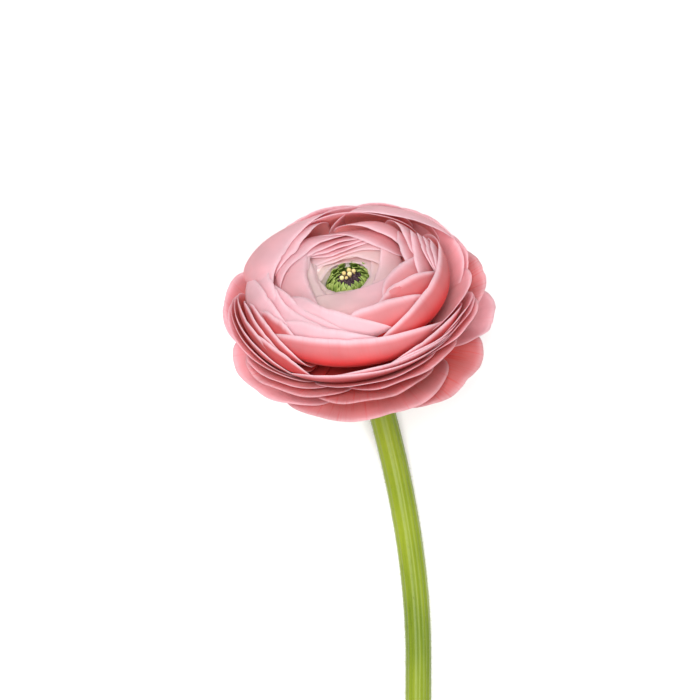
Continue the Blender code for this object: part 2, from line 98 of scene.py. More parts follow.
# Where each petal's rim runs: bearing in degrees and layer at its two ends, then how closely the petal
# follows the round of the bloom (0 to 1, or below 0 where it leans out) and how deep its pink is (0 is palest).
# Layer 0 is the spread skirt and 1 the eye, and most rims turn inwards against the bearings, as a spiral.
# The pink of each petal is partly its own and partly painted light: the petals that lean towards the light are
# given paler values.
PETALS = (
    # guard petals, spread out under the bloom
    (278, 341, -0.03, 0.03, 0, 0.6), (323, 367, 0.07, 0.10, 0, 0.0), (216, 316, 0.13, 0.045, 0, 0.4),
    (176, 250, 0.24, 0.13, 0, 0.2), (132, 198, 0.34, 0.28, 0, 0.0), (2, 66, 0.13, 0.10, 0, 0.5),
    (40, 105, 0.05, 0.07, 0, 0.5), (88, 156, 0.06, 0.08, 0, 0.0),
    # skirt
    (236, 305, 0.215, 0.195, 0, 0.8), (254, 325, 0.27, 0.245, 0, 0.9), (192, 262, 0.28, 0.24, 0, 0.8),
    (330, 395, 0.25, 0.20, 0, 0.5), (30, 95, 0.28, 0.24, 0, 0.7), (84, 152, 0.32, 0.29, 0, 0.7),
    (130, 198, 0.37, 0.34, 0, 0.3), (238, 312, 0.325, 0.29, 0, 0.9), (194, 250, 0.325, 0.29, 0, 0.9),
    (296, 350, 0.32, 0.26, 0, 0.9), (222, 330, 0.435, 0.30, 0, 0.9), (296, 352, 0.36, 0.29, 0, 0.9),
    (304, 350, 0.395, 0.315, 0, 0.9), (156, 240, 0.41, 0.35, 0, 0.6), (350, 398, 0.36, 0.33, 0, 0.8),
    (10, 80, 0.40, 0.36, 0, 0.6), (60, 130, 0.44, 0.40, 0, 0.5), (296, 368, 0.46, 0.335, -0.5, 0.0),
    (340, 424, 0.375, 0.46, -0.4, 0.0), (238, 330, 0.43, 0.33, 0, 1.0), (258, 336, 0.405, 0.345, 0, 1.0),
    # outside of the bun
    (156, 230, 0.455, 0.40, 0.1, 1.1), (158, 236, 0.505, 0.43, 0.05, 1.2), (162, 236, 0.555, 0.47, 0.1, 1.1),
    (266, 338, 0.40, 0.41, 0.05, 1.1), (196, 244, 0.53, 0.44, 0.05, 1.2), (172, 238, 0.60, 0.49, 0.1, 1.1),
    (178, 240, 0.64, 0.53, 0.1, 1.0), (192, 238, 0.67, 0.62, 0.2, 0.9), (20, 92, 0.55, 0.52, 0.3, 0.4),
    (60, 122, 0.58, 0.54, 0.4, 0.3), (40, 112, 0.655, 0.63, 0.4, 0.3), (274, 390, 0.64, 0.60, 0.25, 0.9),
    (328, 378, 0.635, 0.67, 0.3, 0.6), (332, 380, 0.67, 0.70, 0.3, 0.5), (336, 384, 0.705, 0.725, 0.3, 0.4),
    (14, 94, 0.70, 0.80, 0.9, 0.1), (204, 322, 0.655, 0.495, 0.25, 0.75), (210, 286, 0.72, 0.60, 0.2, 0.1),
    (160, 232, 0.705, 0.69, 0.45, 0.2), (150, 216, 0.74, 0.775, 0.5, 0.2), (322, 392, 0.775, 0.74, 0.3, 0.4),
    (28, 128, 0.775, 0.745, 0.4, 0.5),
    # inside of the bun
    (84, 190, 0.775, 0.865, 0.85, 0.1), (158, 280, 0.825, 0.63, 0.25, 0.0), (338, 410, 0.81, 0.765, 0.3, 0.4),
    (284, 347, 0.85, 0.65, 0.25, 0.75), (256, 322, 0.78, 0.68, 0.28, 0.6), (92, 172, 0.84, 0.895, 0.3, 0.3),
    (178, 276, 0.88, 0.67, 0.2, 0.0), (202, 292, 0.91, 0.66, 0.25, 0.0), (294, 356, 0.89, 0.765, 0.2, 0.5),
    (324, 388, 0.83, 0.86, 0.1, 0.4), (352, 450, 0.885, 0.875, 0.1, 0.4), (58, 188, 0.935, 0.905, 0.1, 0.2),
    (206, 338, 1.03, 0.90, 0.3, 0.05),
    (2, 108, 0.965, 0.91, 0.1, 0.35), (286, 402, 1.015, 0.955, 0.05, 0.1), (118, 250, 0.985, 1.035, 0.3, 0.0),
    (112, 236, 0.945, 0.965, 0.3, 0.15), (108, 232, 0.965, 0.99, 0.3, 0.1),
    (38, 168, 0.955, 0.95, 0.1, 0.35), (36, 150, 0.97, 0.985, 0.1, 0.3), (34, 140, 0.98, 1.01, 0.1, 0.25),
    (14, 150, 0.985, 1.04, 0.1, 0.2), (-30, 170, 1.0, 1.05, 0.1, 0.1), (-60, 140, 1.05, 1.06, 0.1, 0.1),
    (30, 230, 1.06, 1.06, 0.1, 0.0), (120, 290, 1.03, 1.05, 0.1, 0.0), (180, 330, 1.05, 1.05, 0.1, 0.0),
    (250, 410, 1.05, 1.04, 0.1, 0.0),
)

# The rims of the bun stand off its round by TIGHT degrees. Round the bearings in LOOSE they stand off more:
# bearing in degrees, degrees more, and how many degrees of bearing the change is spread over.
TIGHT = 22
LOOSE = ((85, 36, 34), (198, 16, 26), (5, 22, 34))

# The rings of green scales, from the outside in: count, radius, height, half width, and lean over the dome.
SCALE_RINGS = (
    (19, 6.0, 4.0, 0.85, 0.3), (17, 5.1, 3.7, 0.8, 0.35), (13, 4.4, 3.1, 0.7, 0.4), (10, 3.8, 2.5, 0.6, 0.2),
)

# The beads over the dome: their place over its top, and their radius.
BEADS = (
    (-1.7, -0.3, 0.6, 0.6), (-0.9, 0.9, 0.9, 0.55), (0.5, 1.7, 0.8, 0.6), (0.4, 0.0, 1.0, 0.62),
    (1.6, 1.0, 0.8, 0.55), (-0.6, -0.6, 0.5, 0.45),
)

# The lights: name, place over the bloom in metres, size in metres, and power in watts.
LIGHTS = (("key", (-0.16, 0.16, 0.68), 0.4, 4.1), ("fill", (0.1, -0.25, 0.62), 0.4, 3.2))

BLOOM_PLACE = (
    Matrix.Translation(BASE_AT * MM)
    @ Matrix.Rotation(FACE_LEAN, 4, "Z")
    @ Matrix.Rotation(FACE_RISE - math.pi / 2, 4, "X")
    @ Matrix.Scale(MM, 4)
)
EYE_PLACE = BLOOM_PLACE @ Matrix.Translation((0.8, 0.2, 0))


def mix(a, b, share):
    """a at share 0, b at share 1, and on in a straight line."""
    return a + (b - a) * share


def smooth(x, low, high):
    """0 below low, 1 above high, and an even rise between."""
    x = min(1.0, max(0.0, (x - low) / (high - low)))
    return x * x * (3 - 2 * x)


def linear(hex_colour):
    """An sRGB hex colour as the linear RGBA that a shader socket takes."""
    parts = (int(hex_colour[i : i + 2], 16) / 255 for i in (1, 3, 5))
    return (*((c / 12.92 if c <= 0.04045 else ((c + 0.055) / 1.055) ** 2.4) for c in parts), 1.0)


# ---------------------------------------------------------------- settings


def colour_property(name, hex_colour, description):
    return FloatVectorProperty(
        name=name, description=description, default=linear(hex_colour),
        size=4, subtype="COLOR", min=0, max=1,
    )


class BloomSettings(PropertyGroup):
    radius: FloatProperty(
        name="Radius", description="Spread of the outermost petals", default=35.88 * MM, unit="LENGTH"
    )
    depth: FloatProperty(
        name="Depth", description="Receptacle to the highest petal rims", default=27.69 * MM, unit="LENGTH"
    )
    thickness: FloatProperty(
        name="Petal thickness", description="Thickness of one petal", default=0.24 * MM, unit="LENGTH"
    )
    rim: colour_property("Rim", "#FFEAF0", "Pale edge of the petals")
    guard: colour_property("Guard", "#DC7470", "Spread guard petals")
    band: colour_property("Band", "#DE6A6A", "Outer face of the deepest pink petals")
    blush: colour_property("Blush", "#FFC6CC", "Inner face near the rim")
    pale: colour_property("Pale", "#FADCE4", "Outer face of the palest petals")
    coral: colour_property("Coral", "#FFBAB4", "Inner face lower down")
    # Deep: the petal's own deep red low down, and painted shade between neighbouring petals; the veins use it
    # too.
    deep: colour_property("Deep", "#F42E28", "Petal low down between its neighbours")
    heart: colour_property("Heart", "#FDEEEA", "Youngest petals round the eye")


class EyeSettings(PropertyGroup):
    scale: colour_property("Scale", "#587524", "Green scales round the middle")
    scale_light: colour_property("Light scale", "#AEC268", "Edges and tips of the scales")
    purple: colour_property("Purple", "#2C1A26", "Dark middle")
    purple_light: colour_property("Light purple", "#6E5560", "Tips on the dark middle")
    cream: colour_property("Cream", "#F2E3A6", "Beads on the middle")
    cream_dark: colour_property("Dark cream", "#C8A95C", "Stalks of the beads")


class StemSettings(PropertyGroup):
    radius_top: FloatProperty(
        name="Top radius", description="Radius under the bloom", default=3.35 * MM, unit="LENGTH"
    )
    radius_foot: FloatProperty(
        name="Foot radius", description="Radius at the cut", default=3.6 * MM, unit="LENGTH"
    )
    ribs: IntProperty(name="Ribs", description="Number of low ribs", default=14, min=0, max=40)
    hairs: IntProperty(name="Hairs", description="Number of short hairs", default=3000, min=0, max=8000)
    green: colour_property("Green", "#5A7000", "Skin of the stem")
    light: colour_property("Light green", "#9BA824", "Ribs of the stem")
    pith: colour_property("Pith", "#D3DBA0", "Cut end of the stem")
    hair: colour_property("Hair", "#A2B060", "Short hairs")


class StageSettings(PropertyGroup):
    height: FloatProperty(
        name="Camera height", description="Camera over the surface", default=0.5165, unit="LENGTH"
    )
    lens: FloatProperty(name="Lens", description="Focal length in millimetres", default=100.0)
    floor: colour_property("Floor", "#FDFDFD", "The plain surface")


# ---------------------------------------------------------------- petal shapes


def bezier(points, t):
    """The point at t on the cubic curve that starts and ends at the outer two of four points."""
    weights = ((1 - t) ** 3, 3 * t * (1 - t) ** 2, 3 * t * t * (1 - t), t**3)
    return tuple(sum(w * p[i] for w, p in zip(weights, points)) for i in range(len(points[0])))


def rim_of(s):
    """Where the petals of layer s end: from the spread skirt at s = 0 over the bun to the eye at s = 1."""
    bloom = bpy.context.scene.ranunculus_bloom
    turn = mix(math.radians(RIM_TURNS[0]), math.radians(RIM_TURNS[1]), s)
    tube = bloom.depth / MM - SKIRT_HEIGHT
    ring = bloom.radius / MM - tube
    # The rims sink towards the eye.
    dip = 3.6 * smooth(s, 0.8, 1.0) + 1.8 * smooth(s, 0.95, 1.06)
    return ring + tube * math.cos(turn), SKIRT_HEIGHT + tube * math.sin(turn) - dip


def lift(s, bearing):
    """How many degrees the rim of layer s stands off the round of the bloom at this bearing."""
    bun = TIGHT
    for middle, more, spread in LOOSE:
        away = (math.degrees(bearing) - middle + 180) % 360 - 180
        bun += more * math.exp(-((away / spread) ** 2))
    # The rims of the skirt stand straight off it.
    return mix(90, bun, smooth(s, 0.22, 0.52))


def profile(s, t, bearing, hug=0):
    """(r, z) of layer s at t: 0 is the root on the receptacle and 1 the rim."""
    s = min(1.06, max(-0.06, s))
    root = mix(*ROOT_RADII, s), ROOT_HEIGHT * s
    rim = rim_of(s)
    before, after = rim_of(s - 0.01), rim_of(s + 0.01)
    tangent = math.atan2(after[1] - before[1], after[0] - before[0]) % math.tau
    # The petal leaves its root at one slope and comes to its rim at another. One that hugs the round lies
    # nearly flat on it, and one whose hug is below 0 leans out.
    raised = mix(lift(s, bearing), 2, max(0, hug)) - 60 * min(0, hug)
    rim_slope = tangent - math.radians(raised)
    root_slope = math.radians(mix(-2, 42, smooth(s, 0, 0.8)))
    reach = math.dist(root, rim)
    leave = mix(0.42 * reach, 15, smooth(s, 0.5, 1))
    hug = max(0, hug)
    arrive = mix(mix(12, 0.4 * reach, min(1, raised / 80)), 16, hug)
    first = root[0] + leave * math.cos(root_slope), root[1] + leave * math.sin(root_slope)
    first = mix(first[0], BELLY[0], hug), mix(first[1], BELLY[1], hug)
    last = rim[0] - arrive * math.cos(rim_slope), rim[1] - arrive * math.sin(rim_slope)
    return bezier((root, first, last, rim), t)


def petal_list():
    """Each petal's middle bearing, half width, layers and edge, with its own draw for its ripples."""
    draw = random.Random(PETAL_SEED)
    made = []
    for index, (first, last, layer_first, layer_last, hug, blush) in enumerate(PETALS):
        made.append(
            {
                "index": index,
                "bearing": math.radians((first + last) / 2),
                "half": math.radians((last - first) / 2),
                "layers": (layer_first, layer_last),
                "s": (layer_first + layer_last) / 2,
                "hug": hug,
                "blush": blush + draw.uniform(-0.06, 0.06),
                "length": draw.uniform(0.985, 1.015),
                "fall": draw.uniform(0.3, 0.42),
                "wave": draw.uniform(0, math.tau),
                "ripple": [draw.uniform(0, math.tau) for _ in range(4)],
                "nick": draw.uniform(-0.7, 0.7),
            }
        )
    return made


def petal_point(petal, u, v):
    """A petal's middle surface: u from -1 to 1 across it, v from 0 at the root to 1 at the rim.

    The rim is rippled in three sizes and nicked once, and its two ends are rounded down to the root.
    """
    a, b, c, d = petal["ripple"]
    edge = 0.004 * math.sin(4 * u + a) + 0.002 * math.sin(9 * u + b) + 0.0006 * math.sin(33 * u + c)
    edge -= 0.006 * math.exp(-(((u - petal["nick"]) / 0.05) ** 2))
    round_end = 1 - (1 - 0.97 * abs(u) ** 2.5) ** 0.45
    t = v * petal["length"] * (1 - petal["fall"] * round_end) * (1 + edge * v**3)
    bearing = petal["bearing"] + petal["half"] * u * smooth(v, -0.5, 0.6)
    s = mix(*petal["layers"], (u + 1) / 2) + 0.003 * math.sin(5 * bearing + petal["wave"]) * v * v
    spread = 1 - smooth(petal["s"], 0.1, 0.4)
    s += (0.0012 + 0.008 * spread) * math.sin(10 * u + d) * v**6
    hug = petal["hug"] * (1 - 0.9 * smooth(u, 0.3, 1.0))
    r, z = profile(s, t, bearing, hug)
    place = BLOOM_PLACE @ Vector((r * math.cos(bearing), r * math.sin(bearing), z))
    # The surface presses on the petals under the bloom, and on the inner ones through the outer ones.
    bed = MM * (LYING_STEP * max(0.0, petal["s"] - LYING_LAYER) + LYING_BED)
    over = place.z - bed
    place.z = bed + 0.5 * (over + math.hypot(over, LYING_SOFTNESS * MM))
    return place


def sepal_point(bearing, u, v):
    """A sepal's middle surface, close under the outermost petals and bent away from them at the tip."""
    half = SEPAL_HALF_WIDTH * mix(0.5, 1, smooth(v, 0, 0.45)) * (1 - v**3) ** 0.7 + 0.35
    r = 4.9 + SEPAL_LENGTH * v + 0.15 * math.sin(9 * u) * v
    z = -1.3 - 1.1 * v * v + 0.3 * u * u * (1 - v) + 0.12 * math.cos(7 * u) * smooth(v, 0, 0.3)
    across = Vector((-math.sin(bearing), math.cos(bearing), 0))
    out = Vector((math.cos(bearing), math.sin(bearing), 0))
    return BLOOM_PLACE @ (out * r + across * half * u + Vector((0, 0, z)))


def stem_at(v):
    """(point in metres, radius in millimetres) of the stem at v: 0 at the bloom and 1 at the foot.

    It bends down from the bloom to the surface, as far as BEND_SHARE, and then lies on it.
    """
    stem = bpy.context.scene.ranunculus_stem
    top, foot = stem.radius_top / MM, stem.radius_foot / MM
    axis = BLOOM_PLACE.to_3x3() @ Vector((0, 0, 1))
    start = BASE_AT - 0.6 * axis / MM
    bend = (
        tuple(start),
        (BASE_AT.x + 8.6, BASE_AT.y - 27.0, -1.5),
        (BASE_AT.x + 15.6, BASE_AT.y - 56.0, 4.2),
        (BASE_AT.x + 15.4, BASE_AT.y - 86.0, top),
    )
    if v < BEND_SHARE:
        t = v / BEND_SHARE
        # It widens into the receptacle under the bloom.
        point, radius = Vector(bezier(bend, t)), top + 0.95 * (1 - smooth(t, 0, 0.18))
    else:
        share = (v - BEND_SHARE) / (1 - BEND_SHARE)
        radius = mix(top, foot, share)
        point = Vector((bend[3][0] - 3.5 * share * share, bend[3][1] - STEM_LYING * share, radius))
    point.z = max(point.z, radius - SETTLE)
    return MM * point, radius


def stem_frame(v):
    """The stem's point and radius at v, with the directions along it, sideways and up."""
    point, radius = stem_at(v)
    along = (stem_at(min(1, v + 0.004))[0] - stem_at(max(0, v - 0.004))[0]).normalized()
    sideways = along.cross(Vector((0, 0, 1))).normalized()
    return point, radius, along, sideways, sideways.cross(along)


def scale_point(scale, u, v):
    """A leaf-like scale of the eye: widest below its middle, cupped, and bent in over the dome."""
    half = scale["wide"] * (math.sin(math.pi * min(1, 0.16 + 0.86 * v)) ** 0.8 + 0.04)
    lean = scale["lean"] * v * v + 0.1 * v
    r = scale["r"] - scale["tall"] * lean + 0.35 * u * u * half
    z = EYE_FLOOR + 0.3 + scale["tall"] * v * (1 - 0.25 * lean)
    bearing = scale["bearing"]
    across = Vector((-math.sin(bearing), math.cos(bearing), 0))
    out = Vector((math.cos(bearing), math.sin(bearing), 0))
    return EYE_PLACE @ (out * r + across * half * u + Vector((0, 0, z)))


# ---------------------------------------------------------------- mesh helpers


def new_mesh():
    """A bmesh whose vertices hold their own place in millimetres and a kind, for the materials to read."""
    bm = bmesh.new()
    bm.verts.layers.float_vector.new("place")
    bm.verts.layers.float_vector.new("kind")
    return bm


def finish(name, bm, node, slot, *materials):
    """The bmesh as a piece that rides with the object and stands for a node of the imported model."""
    mesh = bpy.data.meshes.new(name)
    bm.to_mesh(mesh)
    bm.free()
    for material in materials:
        mesh.materials.append(material)
    mesh.shade_smooth()
    piece = bpy.data.objects.new(name, mesh)
    bpy.context.scene.collection.objects.link(piece)
    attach(piece, "root")
    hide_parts(node)
    return piece


def add_blade(bm, point, kind, size, across, along, thickness, shift=0):
    """A thin closed blade round the surface point(u, v), u from -1 to 1 across it and v from 0 to 1 along it.

    Its vertices hold their place on the blade in millimetres, moved by shift so that no two blades have the
    same pattern, and their kind: 0 in front and 1 behind, then what kind(u, v) gives.
    """
    place, sort = bm.verts.layers.float_vector["place"], bm.verts.layers.float_vector["kind"]
    front = bmesh.ops.create_grid(bm, x_segments=across, y_segments=along, size=1)["verts"]
    thin = {}
    for vert in front:
        u, v = vert.co.x, (vert.co.y + 1) / 2
        vert.co = point(u, v)
        vert[place] = (u * size[0] + shift, v * size[1], v)
        vert[sort] = (0, *kind(u, v))
        from_edge = min((1 - v) * size[1], (1 - abs(u)) * size[0])
        thin[vert] = 0.25 + 0.75 * smooth(from_edge, 0, EDGE_WIDTH)
    faces = list({face for vert in front for face in vert.link_faces})
    for face in faces:
        face.normal_update()
    for vert in front:
        vert.normal_update()
    shifts = {vert: vert.normal * thickness * thin[vert] / 2 for vert in front}
    copy = bmesh.ops.duplicate(bm, geom=front + faces + list({e for f in faces for e in f.edges}))
    for old, new in copy["vert_map"].items():
        if old in shifts:
            new.co = old.co - shifts[old]
            new[sort] = (1, *new[sort][1:])
    for old, move in shifts.items():
        old.co += move
    back_faces = [face for face in copy["geom"] if isinstance(face, bmesh.types.BMFace)]
    bmesh.ops.reverse_faces(bm, faces=back_faces)
    rims = {e for f in faces + back_faces for e in f.edges if e.is_boundary}
    bmesh.ops.bridge_loops(bm, edges=list(rims))


def settle(bm, verts, place, kind):
    """Writes the place and kind of new vertices, then moves them by place from the bloom's millimetres."""
    at, sort = bm.verts.layers.float_vector["place"], bm.verts.layers.float_vector["kind"]
    for vert in verts:
        vert[at] = vert.co
        vert[sort] = kind
    bmesh.ops.transform(bm, matrix=place, verts=verts)


def lathe(bm, outline, steps, place, kind=(0, 0, 0)):
    """A closed body of revolution from its (r, z) outline, which ends on the axis or closes on itself."""
    old = set(bm.verts)
    verts = [bm.verts.new((r, 0, z)) for r, z in outline]
    edges = [bm.edges.new(pair) for pair in zip(verts, verts[1:])]
    if outline[0][0] > 0:
        edges.append(bm.edges.new((verts[-1], verts[0])))
    bmesh.ops.spin(bm, geom=verts + edges, axis=(0, 0, 1), steps=steps, angle=math.tau, use_merge=True)
    made = [vert for vert in bm.verts if vert not in old]
    bmesh.ops.remove_doubles(bm, verts=made, dist=0.001)
    made = [vert for vert in bm.verts if vert not in old]
    bmesh.ops.recalc_face_normals(bm, faces=list({face for vert in made for face in vert.link_faces}))
    settle(bm, made, place, kind)


# ---------------------------------------------------------------- materials


def add_node(tree, kind, inputs=None, **settings):
    """A node with its settings. Each input, by name or number, takes a value or another node's output.

    A map range takes its value at 0, the range it comes from at 1 and 2 and the one it goes to at 3 and 4.
    A colour mix takes the share of colour 7 over colour 6 at 0.
    """
    node = tree.nodes.new(kind)
    for name, value in settings.items():
        setattr(node, name, value)
    for key, value in (inputs or {}).items():
        if isinstance(value, NodeSocket):
            tree.links.new(value, node.inputs[key])
        else:
            node.inputs[key].default_value = value
    return node


def new_material(name):
    """An empty material and its node tree."""
    made = bpy.data.materials.new(name)
    made.use_nodes = True
    made.node_tree.nodes.clear()
    return made, made.node_tree


def petal_material():
    """Fresh ranunculus petal: thin, satin and see-through, with fine veins that run from root to rim.

    Young petals near the eye are pale and the outside of the bun is pink. Every petal deepens low down, partly
    in its own pigment and partly as painted shade between its neighbours, where the light has passed through
    several
    others: red outside the bun and coral inside it. The rims are pale.
    """
    bloom = bpy.context.scene.ranunculus_bloom
    made, tree = new_material("ranunculus_petal")
    place = add_node(tree, "ShaderNodeAttribute", attribute_name="place").outputs["Vector"]
    kind = add_node(tree, "ShaderNodeAttribute", attribute_name="kind").outputs["Vector"]
    v = add_node(tree, "ShaderNodeSeparateXYZ", {0: place}).outputs[2]
    side, layer, blush = add_node(tree, "ShaderNodeSeparateXYZ", {0: kind}).outputs

    # How deep in its pink the petal is: it grows with the way down from the rim, fastest on the pink petals.
    down = add_node(tree, "ShaderNodeMath", {0: 1.0, 1: v}, operation="SUBTRACT").outputs[0]
    pace = add_node(tree, "ShaderNodeMath", {0: blush, 1: 2.5, 2: 0.5}, operation="MULTIPLY_ADD").outputs[0]
    depth = add_node(tree, "ShaderNodeMath", {0: down, 1: pace}, operation="MULTIPLY").outputs[0]
    pink = add_node(
        tree, "ShaderNodeMapRange", {0: depth, 1: 0.0, 2: 0.24}, interpolation_type="SMOOTHSTEP"
    ).outputs[0]
    share = add_node(
        tree, "ShaderNodeMath", {0: blush, 1: 0.88, 2: 0.07}, operation="MULTIPLY_ADD"
    ).outputs[0]
    share = add_node(tree, "ShaderNodeMath", {0: share, 1: pink}, operation="MULTIPLY").outputs[0]
    outer = add_node(
        tree, "ShaderNodeMix", {0: share, 6: bloom.pale, 7: bloom.band}, data_type="RGBA"
    ).outputs[2]

    # The inner face turns from blush at the rim to coral.
    share = add_node(
        tree, "ShaderNodeMapRange", {0: down, 1: 0.02, 2: 0.2}, interpolation_type="SMOOTHSTEP"
    ).outputs[0]
    pale_too = add_node(tree, "ShaderNodeMapRange", {0: blush, 1: 0.0, 2: 0.45, 3: 0.2, 4: 1.0}).outputs[0]
    share = add_node(tree, "ShaderNodeMath", {0: share, 1: pale_too}, operation="MULTIPLY").outputs[0]
    inner = add_node(
        tree, "ShaderNodeMix", {0: share, 6: bloom.blush, 7: bloom.coral}, data_type="RGBA"
    ).outputs[2]
    face = add_node(tree, "ShaderNodeMix", {0: side, 6: outer, 7: inner}, data_type="RGBA").outputs[2]

    # Near the eye the palest petals turn near white, and the spread guard petals are coral on both faces.
    young = add_node(
        tree, "ShaderNodeMapRange", {0: layer, 1: 0.93, 2: 1.02}, interpolation_type="SMOOTHSTEP"
    ).outputs[0]
    youngest = add_node(tree, "ShaderNodeMapRange", {0: blush, 1: 0.3, 2: 0.0}).outputs[0]
    young = add_node(tree, "ShaderNodeMath", {0: young, 1: youngest}, operation="MULTIPLY").outputs[0]
    face = add_node(tree, "ShaderNodeMix", {0: young, 6: face, 7: bloom.heart}, data_type="RGBA").outputs[2]
    spread = add_node(
        tree, "ShaderNodeMapRange", {0: layer, 1: 0.34, 2: 0.16}, interpolation_type="SMOOTHSTEP"
    ).outputs[0]
    spread = add_node(tree, "ShaderNodeMath", {0: spread, 1: blush}, operation="MULTIPLY").outputs[0]
    face = add_node(tree, "ShaderNodeMix", {0: spread, 6: face, 7: bloom.guard}, data_type="RGBA").outputs[2]

    # Low down the petals turn deep red, partly their own pigment and partly painted shade between neighbours;
    # less so on the guard petals, towards the eye and inside the bun.
    low = add_node(
        tree, "ShaderNodeMapRange", {0: depth, 1: 0.2, 2: 0.95}, interpolation_type="SMOOTHSTEP"
    ).outputs[0]
    old = add_node(tree, "ShaderNodeMapRange", {0: layer, 1: 1.0, 2: 0.8, 3: 0.1, 4: 0.85}).outputs[0]
    share = add_node(tree, "ShaderNodeMath", {0: low, 1: old}, operation="MULTIPLY").outputs[0]
    shaded = add_node(tree, "ShaderNodeMapRange", {0: layer, 1: 0.1, 2: 0.24, 3: 0.35, 4: 1.0}).outputs[0]
    share = add_node(tree, "ShaderNodeMath", {0: share, 1: shaded}, operation="MULTIPLY").outputs[0]
    inward = add_node(tree, "ShaderNodeMapRange", {0: layer, 1: 0.5, 2: 0.72, 3: 0.0, 4: 0.85}).outputs[0]
    inward = add_node(tree, "ShaderNodeMath", {0: side, 1: inward}, operation="MULTIPLY").outputs[0]
    outward = add_node(tree, "ShaderNodeMath", {0: 1.0, 1: inward}, operation="SUBTRACT").outputs[0]
    share = add_node(tree, "ShaderNodeMath", {0: share, 1: outward}, operation="MULTIPLY").outputs[0]
    face = add_node(tree, "ShaderNodeMix", {0: share, 6: face, 7: bloom.deep}, data_type="RGBA").outputs[2]

    # Veins: streaks of noise drawn out along the petal, some 0.5 mm apart, coarser than the real ones.
    drawn = add_node(tree, "ShaderNodeMapping", {0: place, 3: (1.0, 0.05, 0.0)}).outputs[0]
    veins = add_node(tree, "ShaderNodeTexNoise", {"Vector": drawn, "Scale": 1.5, "Detail": 4.0}).outputs[0]
    cloudy = add_node(tree, "ShaderNodeTexNoise", {"Vector": place, "Scale": 0.16, "Detail": 2.0}).outputs[0]
    grain = add_node(tree, "ShaderNodeTexNoise", {"Vector": place, "Scale": 2.4, "Detail": 2.0}).outputs[0]
    outside = add_node(tree, "ShaderNodeMapRange", {0: layer, 1: 0.5, 2: 0.2, 3: 0.08, 4: 0.5}).outputs[0]
    lines = add_node(
        tree, "ShaderNodeMapRange", {0: veins, 1: 0.5, 2: 0.75}, interpolation_type="SMOOTHSTEP"
    ).outputs[0]
    share = add_node(tree, "ShaderNodeMath", {0: lines, 1: outside}, operation="MULTIPLY").outputs[0]
    faint = add_node(tree, "ShaderNodeMapRange", {0: blush, 1: 0.0, 2: 0.6, 3: 0.25, 4: 0.9}).outputs[0]
    share = add_node(tree, "ShaderNodeMath", {0: share, 1: faint}, operation="MULTIPLY").outputs[0]
    face = add_node(tree, "ShaderNodeMix", {0: share, 6: face, 7: bloom.deep}, data_type="RGBA").outputs[2]

    # The pale rim, broken by the veins.
    rim = add_node(
        tree, "ShaderNodeMapRange", {0: v, 1: 0.93, 2: 1.0}, interpolation_type="SMOOTHSTEP"
    ).outputs[0]
    broken = add_node(tree, "ShaderNodeMapRange", {0: veins, 1: 0.3, 2: 0.7, 3: 0.85, 4: 0.45}).outputs[0]
    share = add_node(tree, "ShaderNodeMath", {0: rim, 1: broken}, operation="MULTIPLY").outputs[0]
    clear = add_node(tree, "ShaderNodeMapRange", {0: layer, 1: 0.3, 2: 0.6, 3: 0.6, 4: 1.0}).outputs[0]
    share = add_node(tree, "ShaderNodeMath", {0: share, 1: clear}, operation="MULTIPLY").outputs[0]
    face = add_node(tree, "ShaderNodeMix", {0: share, 6: face, 7: bloom.rim}, data_type="RGBA").outputs[2]

    # Faint clouds, and painted shade: the outermost petals, low under the bloom, are a little darker.
    value = add_node(tree, "ShaderNodeMapRange", {0: cloudy, 1: 0.3, 2: 0.7, 3: 0.92, 4: 1.02}).outputs[0]
    outer_layer_shade = add_node(tree, "ShaderNodeMapRange", {0: layer, 1: 0.1, 2: 0.4, 3: 0.9, 4: 1.0}).outputs[0]
    value = add_node(tree, "ShaderNodeMath", {0: value, 1: outer_layer_shade}, operation="MULTIPLY").outputs[0]
    skin = add_node(tree, "ShaderNodeHueSaturation", {"Color": face, "Value": value}).outputs[0]
    height = add_node(tree, "ShaderNodeMath", {0: veins, 1: grain}, operation="ADD").outputs[0]
    bump = add_node(
        tree, "ShaderNodeBump", {"Height": height, "Strength": 0.3, "Distance": 0.1 * MM}
    ).outputs[0]
    satin = add_node(
        tree, "ShaderNodeBsdfPrincipled",
        {
            "Base Color": skin, "Normal": bump, "Roughness": 0.55, "IOR": 1.4,
            "Sheen Weight": 0.15, "Sheen Roughness": 0.5,
        },
    ).outputs[0]
    through = add_node(tree, "ShaderNodeBsdfTranslucent", {"Color": skin, "Normal": bump}).outputs[0]
    both = add_node(tree, "ShaderNodeMixShader", {0: 0.55, 1: satin, 2: through}).outputs[0]
    add_node(tree, "ShaderNodeOutputMaterial", {"Surface": both})
    return made


def grown_material(name, dark, light, roughness, grain_scale, bump_height):
    """A small grown part, satin: its dark colour turns to the light one by its kind and a fine grain.

    The grain has grain_scale waves to the millimetre, and is bump_height millimetres high.
    """
    made, tree = new_material(name)
    place = add_node(tree, "ShaderNodeAttribute", attribute_name="place").outputs["Vector"]
    kind = add_node(tree, "ShaderNodeAttribute", attribute_name="kind").outputs["Vector"]
    light_share = add_node(tree, "ShaderNodeSeparateXYZ", {0: kind}).outputs[1]
    grain = add_node(
        tree, "ShaderNodeTexNoise", {"Vector": place, "Scale": grain_scale, "Detail": 4.0}
    ).outputs[0]
    spread = add_node(tree, "ShaderNodeMapRange", {0: grain, 1: 0.3, 2: 0.7, 3: -0.25, 4: 0.25}).outputs[0]
    share = add_node(
        tree, "ShaderNodeMath", {0: light_share, 1: spread}, operation="ADD", use_clamp=True
    ).outputs[0]
    skin = add_node(tree, "ShaderNodeMix", {0: share, 6: dark, 7: light}, data_type="RGBA").outputs[2]
    bump = add_node(
        tree, "ShaderNodeBump", {"Height": grain, "Strength": 0.4, "Distance": bump_height * MM}
    ).outputs[0]
    shader = add_node(
        tree, "ShaderNodeBsdfPrincipled",
        {"Base Color": skin, "Normal": bump, "Roughness": roughness, "IOR": 1.42},
    ).outputs[0]
    add_node(tree, "ShaderNodeOutputMaterial", {"Surface": shader})
    return made


